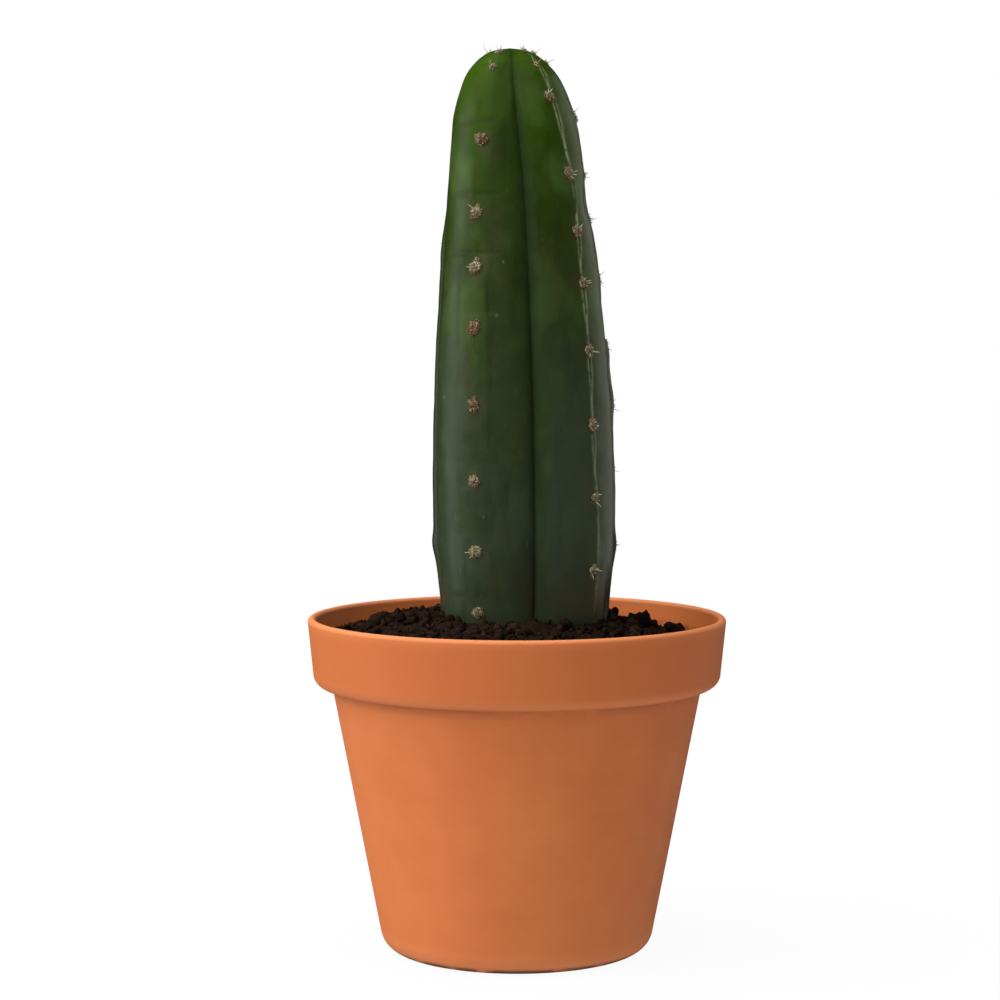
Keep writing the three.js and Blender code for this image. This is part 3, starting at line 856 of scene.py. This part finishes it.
def addWool(draw, tuft, wool):  # each hair is a thin three-sided spike
    outward, sideways, upward = tuft["axes"]
    shift, small = tuft["shift"], tuft["small"]
    for _ in range(areole["wool"] // (2 if small else 1)):
        turn, away = draw.uniform(0, 2 * math.pi), math.sqrt(draw.random())
        away *= 1.08 + 0.22 * math.sin(2 * turn + shift.x) + 0.14 * math.sin(5 * turn + shift.y)
        around = math.cos(turn) * sideways + math.sin(turn) * tuft["oval"] * upward
        root = tuft["place"] + tuft["radius"] * 0.95 * away * around
        root += outward * areole["padHeight"] * math.sqrt(max(0.05, 1 - away * away)) * 0.85
        way = outward + 1.3 * away ** 2 * (math.cos(turn) * sideways + math.sin(turn) * upward)
        way += 0.5 * gaussVector(draw, 0.5)
        way.normalize()
        length = draw.uniform(*areole["woolLength"]) * (0.7 if small else 1.0)
        across = way.orthogonal().normalized() * draw.uniform(*areole["woolWidth"])
        other = way.cross(across)
        base = len(wool["points"])
        for corner in range(3):
            spin = 2 * math.pi * corner / 3
            spot = root - 0.2 * way + math.cos(spin) * across + math.sin(spin) * other
            wool["points"].append(tuple(spot))
        wool["points"].append(tuple(root + length * way))
        for face in ((0, 1, 3), (1, 2, 3), (2, 0, 3), (2, 1, 0)):
            wool["faces"].append(tuple(base + index for index in face))
        wool["old"] += [clamp(tuft["old"] + 0.3 * away * math.sin(turn) + draw.uniform(-0.35, 0.45))] * 4


def addSpines(draw, tuft, spines):
    outward, sideways, upward = tuft["axes"]
    small = tuft["small"]
    sides, steps = areole["spineSides"], areole["spineSteps"]
    parts = [step / (steps - 1) for step in range(steps)]
    count = draw.randint(*areole["spines"]) - (1 if small else 0)
    lift = areole["lift"] if tuft["place"].z < areole["liftBelow"] else 0.0
    for spine in range(count):
        turn = draw.uniform(0, 2 * math.pi)
        isLong = spine < areole["longSpines"]
        spread = areole["spread"] * draw.uniform(*((0.3, 1.2) if isLong else (0.2, 1.9)))
        way = outward + spread * math.cos(turn) * sideways
        way += upward * (spread * math.sin(turn) * (1 - lift) + lift)
        way.normalize()
        length = draw.uniform(areole["spineShort"], areole["spineLong"])
        if isLong:
            length = draw.uniform(areole["spineLong"], areole["longest"])
        length *= areole["crownSpine"] * draw.uniform(0.6, 1.1) if small else 1.0
        bend = gaussVector(draw, 1) * 0.07 * length
        offset = draw.uniform(0.05, 0.75) * tuft["radius"]
        root = tuft["place"] + offset * (math.cos(turn) * sideways + math.sin(turn) * upward)
        middles = [root + way * (length * part - 0.4) + bend * part * part for part in parts]
        width = areole["spineWidth"] / 2 * (0.7 if small else 1.0) * draw.uniform(0.8, 1.15)
        radii = [width * (1.25 if part == 0 else 1.0) * (1 - 0.88 * part ** 2.2) for part in parts]
        addTube(spines["points"], spines["faces"], middles, radii, sides)
        spines["along"] += [part for part in parts for _ in range(sides)]
        spines["old"] += [clamp(tuft["old"] + draw.uniform(-0.2, 0.2))] * (steps * sides)


def buildAreoles():
    draw = random.Random(areole["seed"])
    lump = icoSphere(3)
    wool = {"points": [], "faces": [], "old": []}
    spines = {"points": [], "faces": [], "old": [], "along": []}
    for tuft in areoles:
        tuft["radius"] = areole["crownPadRadius"]
        if not tuft["small"]:
            tuft["radius"] = areole["padRadius"] * tuft["size"] * draw.uniform(0.88, 1.1)
        tuft["old"] = clamp(tuft["tone"] + draw.uniform(-0.08, 0.08))
        tuft["shift"] = Vector((draw.random() * 50, draw.random() * 50, 0))
        tuft["oval"] = draw.uniform(0.95, 1.2)
        addPad(tuft, lump, wool)
        addWool(draw, tuft, wool)
        addSpines(draw, tuft, spines)
    makePiece(
        "areoleWool", wool["points"], wool["faces"], woolFinish(), (), {"old": wool["old"]})
    makePiece(
        "cactusSpines", spines["points"], spines["faces"], spineFinish(), (),
        {"along": spines["along"], "old": spines["old"]})


buildAreoles()


# Soil: a crumbly bed round the stem, with loose crumbs and clods on it

soil = {
    "seed": 21,
    "clearance": 0.35,
    "wallClearance": 0.5,
    "atStem": 137.4,  # heights of the surface
    "atWall": 128.5,
    "slopePower": 0.85,
    "slopeStart": 38.0,
    "heaps": [  # place, rise (less than 0 for a hollow) and spread
        (-47, 0, 4.4, 11), (30, 36, 2, 14), (66, 0, -3.4, 14), (56, 38, -3.4, 14), (7, -38, 2.0, 4),
    ],
    "clods": [  # place, radius and how far it is raised
        (48.5, -2, 7, 0.15), (65.5, -4, 5.9, 0.75), (-56, -8, 4.6, 0.15), (8, 55, 6, 0.15),
        (-30, 50, 5, 0.15),
    ],
    "clodCrumbs": 26,
    "clodCrumbSizes": (0.8, 2.0),
    "sink": 1.0,  # how far the bed lies under its crumbs' tops
    "sides": 480,
    "rings": 84,
    "crumbs": 2100,
    "crumbSizes": (0.4, 2.35),
    "fineCrumb": 1.9,  # crumbs under this radius have fewer faces
    "peat": [
        (0.3, (0.004, 0.0022, 0.0015)), (0.5, (0.011, 0.0058, 0.0036)),
        (0.68, (0.022, 0.011, 0.006)), (0.92, (0.070, 0.032, 0.017)),
    ],
}


def soilAt(x, y):
    away = (math.hypot(x, y) - soil["slopeStart"]) / (lipInside - soil["slopeStart"])
    height = soil["atStem"] - (soil["atStem"] - soil["atWall"]) * clamp(away) ** soil["slopePower"]
    for heapX, heapY, rise, spread in soil["heaps"]:
        height += rise * math.exp(-((x - heapX) ** 2 + (y - heapY) ** 2) / spread ** 2 / 2)
    return height


def soilRough(x, y):  # clumps of several sizes, with gaps between them
    spot = Vector((x, y, 3.7))
    bent = spot + 1.2 * noise.noise_vector(spot / 3)
    near, second = noise.voronoi(bent / 4.2)[0][:2]
    small, smallSecond = noise.voronoi(bent / 1.9)[0][:2]
    rough = 0.9 * noise.noise(spot / 8) + 0.9 * min(second - near, 0.6) + 0.7 * min(smallSecond - small, 0.5)
    return rough + 0.4 * noise.noise(spot / 0.9) - 0.5 - soil["sink"]


def stemRadiusRound(height, angles):  # distance of the stem's surface from its axis at a height, by angle
    found = []
    for column in stemColumns():
        radius = outlineAt(shareAt(height))[0]
        reach = lerp(stem["furrow"], ribs[column[0]]["reach"], lobeAt(column[1]))
        found.append((math.radians(angleAt(column, height)[0]), radius * reach))
    found.sort()
    turns = np.array([turn for turn, _ in found])
    radii = np.array([radius for _, radius in found])
    return np.interp(angles, turns, radii, period=2 * math.pi)


def soilFinish():
    peat = Finish("peat")
    broad = peat.cloud(9 * mm, 3.0, 0.6)
    crumb = peat.cloud(2.0 * mm, 5.0, 0.7)
    grit = peat.cloud(0.45 * mm, 3.0, 0.7)
    tone = crumb * 0.6 + broad * 0.25 + grit * 0.15 + peat.painted("tone") * 0.35
    return peat.close({
        "Base Color": peat.ramp(tone, soil["peat"]),
        "Roughness": 0.85 + (crumb - 0.5) * 0.25,
        "Specular IOR Level": 0.1,
        "Normal": peat.bump(crumb * 0.7 + grit * 0.4, 0.6 * mm, 0.9),
    })


def ringAt(radii, turns, height, middle=0.0):
    return [
        (middle + radius * math.cos(turn), radius * math.sin(turn), height)
        for radius, turn in zip(radii, turns)]


def buildSoilBed(peat):
    sides = soil["sides"]
    turns = [2 * math.pi * side / sides for side in range(sides)]
    # the stem's own angles run from -Y towards +X
    stemTurns = np.array([turn + math.pi / 2 for turn in turns])
    wall = [
        (insideAt(14.0) - 6.0, 8.0), (insideAt(14.0), 14.0), (insideAt(60.0), 60.0),
        (insideAt(pot["shoulderFoot"]), pot["shoulderFoot"]),
        (bandInsideAt(pot["shoulderTop"]), pot["shoulderTop"]),
        (bandInsideAt(121.0), 121.0),
    ]
    points = []
    for radius, height in wall:
        points += ringAt([radius - soil["wallClearance"]] * sides, turns, height + soil["clearance"])
    outer = bandInsideAt(soil["atWall"]) - soil["wallClearance"]
    innerRadii = stemRadiusRound(soil["atStem"] - 1, stemTurns)
    for ring in range(soil["rings"] + 1):
        share = ring / soil["rings"]
        for turn, inner in zip(turns, innerRadii):
            innerX = stem["footX"] + (inner + 0.25) * math.cos(turn)
            innerY = (inner + 0.25) * math.sin(turn)
            x = lerp(outer * math.cos(turn), innerX, share)
            y = lerp(outer * math.sin(turn), innerY, share)
            points.append((x, y, soilAt(x, y) + soilRough(x, y) * (1 if ring else 0.3)))
    for height in (128.0, 118.0, 108.0, 100.0):
        points += ringAt(stemRadiusRound(height, stemTurns) + 0.4, turns, height, stem["footX"])
    rings = len(points) // sides
    faces = ringFaces(rings, sides)
    bottom, hole = len(points), len(points) + 1
    points += [(0, 0, wall[0][1] + soil["clearance"]), (stem["footX"], 0, 95.5)]
    last = (rings - 1) * sides
    for side in range(sides):
        after = (side + 1) % sides
        faces.append((bottom, after, side))
        faces.append((hole, last + side, last + after))
    makePiece("soilBed", points, faces, peat, ["soil"], {"tone": [0.0] * len(points)})


def buildCrumbs(peat):
    draw = random.Random(soil["seed"])
    lumps = {level: icoSphere(level) for level in (1, 2, 3)}
    points, faces, tone = [], [], []
    innerTurns = np.linspace(0, 2 * math.pi, 721)
    innerReach = stemRadiusRound(soil["atStem"] - 1, innerTurns + math.pi / 2)
    wallReach = bandInsideAt(soil["atWall"]) - 0.8

    def addLump(x, y, radius, level, raised):
        shape, shapeFaces = lumps[level]
        start = len(points)
        girth = [draw.uniform(0.7, 1.4), draw.uniform(0.6, 1.2), draw.uniform(0.45, 1.0)]
        shift = Vector([draw.random() * 90 for _ in range(3)])
        turn = Vector((0, 0, 1)).rotation_difference(gaussVector(draw, 1).normalized())
        middle = Vector((x, y, soilAt(x, y) + soilRough(x, y) + radius * raised))
        for corner in shape:
            spot = Vector(corner)
            bulge = 1 + 0.5 * noise.noise(spot * 1.3 + shift) + 0.36 * noise.noise(spot * 3.1 + shift)
            spot = turn @ Vector([c * g * bulge * radius for c, g in zip(spot, girth)])
            points.append(tuple(middle + spot))
        faces.extend(tuple(start + index for index in face) for face in shapeFaces)
        tone.extend([draw.uniform(-0.4, 0.4)] * len(shape))

    for x, y, radius, raised in soil["clods"]:
        addLump(x, y, radius * 0.95, 3, raised)
        for _ in range(soil["clodCrumbs"]):
            turn, away = draw.uniform(0, 2 * math.pi), radius * draw.uniform(0.5, 1.3)
            size = draw.uniform(*soil["clodCrumbSizes"])
            addLump(x + away * math.cos(turn), y + away * math.sin(turn), size, 2, 0.4)
    for _ in range(soil["crumbs"]):
        radius = lerp(*soil["crumbSizes"], draw.random() ** 2.2)
        turn = draw.uniform(0, 2 * math.pi)
        inner = float(np.interp(turn % (2 * math.pi), innerTurns, innerReach)) + 0.2 * radius
        away = math.sqrt(lerp(inner ** 2, (wallReach - radius) ** 2, draw.random()))
        x, y = away * math.cos(turn) + stem["footX"] * (1 - smooth(away, 40, 70)), away * math.sin(turn)
        addLump(x, y, radius, 2 if radius > soil["fineCrumb"] else 1, draw.uniform(0.0, 0.55))
    makePiece("soilCrumbs", points, faces, peat, (), {"tone": tone})


noise.seed_set(soil["seed"])  # the clumps are bent the same way each time
peat = soilFinish()
buildSoilBed(peat)
buildCrumbs(peat)


# Studio: floor, lights and camera

studio = {
    "floorSize": 12.0,
    "floorTone": 0.03,
    "floorGlow": 0.95,
    "camera": (-0.0069, -1.1407, 0.2647),
    "pitch": 4.054,
    "lens": 101.31,
    "room": 0.01,  # light from all round
    # strength, angles (less than 0 from the left and from above), softness in degrees, colour
    "lamps": {
        "key": (3.15, (-90, -50), 60, (1.0, 1.0, 1.0)),
        "side": (1.7, (-72, -15), 60, (1.0, 1.0, 1.0)),
        "front": (1.25, (-20, -20), 60, (1.0, 1.0, 1.0)),
        "right": (0.48, (90, -25), 90, (1.0, 1.0, 1.0)),
        "top": (2.3, (0, -85), 60, (1.0, 1.0, 1.0)),
    },
    "panels": {  # these show only as a sheen
        "leftPanel": (0.3, (-102, -4), 37, (0.95, 1.0, 0.9)),
        "rightPanel": (0.31, (128, -8), 48, (1.0, 0.98, 0.82)),
    },
}


def buildStudio():
    bpy.ops.mesh.primitive_plane_add(size=studio["floorSize"])
    floor = bpy.context.object
    floor.name = "floor"
    floor.visible_glossy = False
    pale = Finish("paleFloor")
    floor.data.materials.append(pale.close({
        "Base Color": (studio["floorTone"],) * 3 + (1.0,),
        "Roughness": 0.9,
        "Specular IOR Level": 0.0,
        "Emission Color": (1.0, 1.0, 1.0, 1.0),
        "Emission Strength": studio["floorGlow"],
    }))
    scene.world = bpy.data.worlds.new("studio")
    wall = Finish("studio", scene.world)
    seen = wall.node("ShaderNodeLightPath", out="Is Camera Ray")
    strength = seen * (1.0 - studio["room"]) + studio["room"]
    light = wall.node("ShaderNodeBackground", None, {"Color": (1, 1, 1, 1), "Strength": strength})
    output = wall.tree.nodes.new("ShaderNodeOutputWorld")
    wall.tree.links.new(light.socket, output.inputs["Surface"])
    suns = {**studio["lamps"], **studio["panels"]}
    for name, (strength, (across, above), softness, colour) in suns.items():
        data = bpy.data.lights.new(name, "SUN")
        data.energy = strength
        data.color = colour
        data.angle = math.radians(softness)
        lamp = bpy.data.objects.new(name, data)
        scene.collection.objects.link(lamp)
        lamp.rotation_euler = (math.radians(90 + above), 0, math.radians(across))
        lamp.visible_glossy = name in studio["panels"]
        lamp.visible_diffuse = name in studio["lamps"]
    data = bpy.data.cameras.new("camera")
    data.lens = studio["lens"]
    data.sensor_width = 36
    camera = bpy.data.objects.new("camera", data)
    scene.collection.objects.link(camera)
    camera.location = studio["camera"]
    camera.rotation_euler = (math.radians(90 - studio["pitch"]), 0, 0)
    scene.camera = camera
    scene.view_settings.view_transform = "Standard"


buildStudio()
print("studio set")
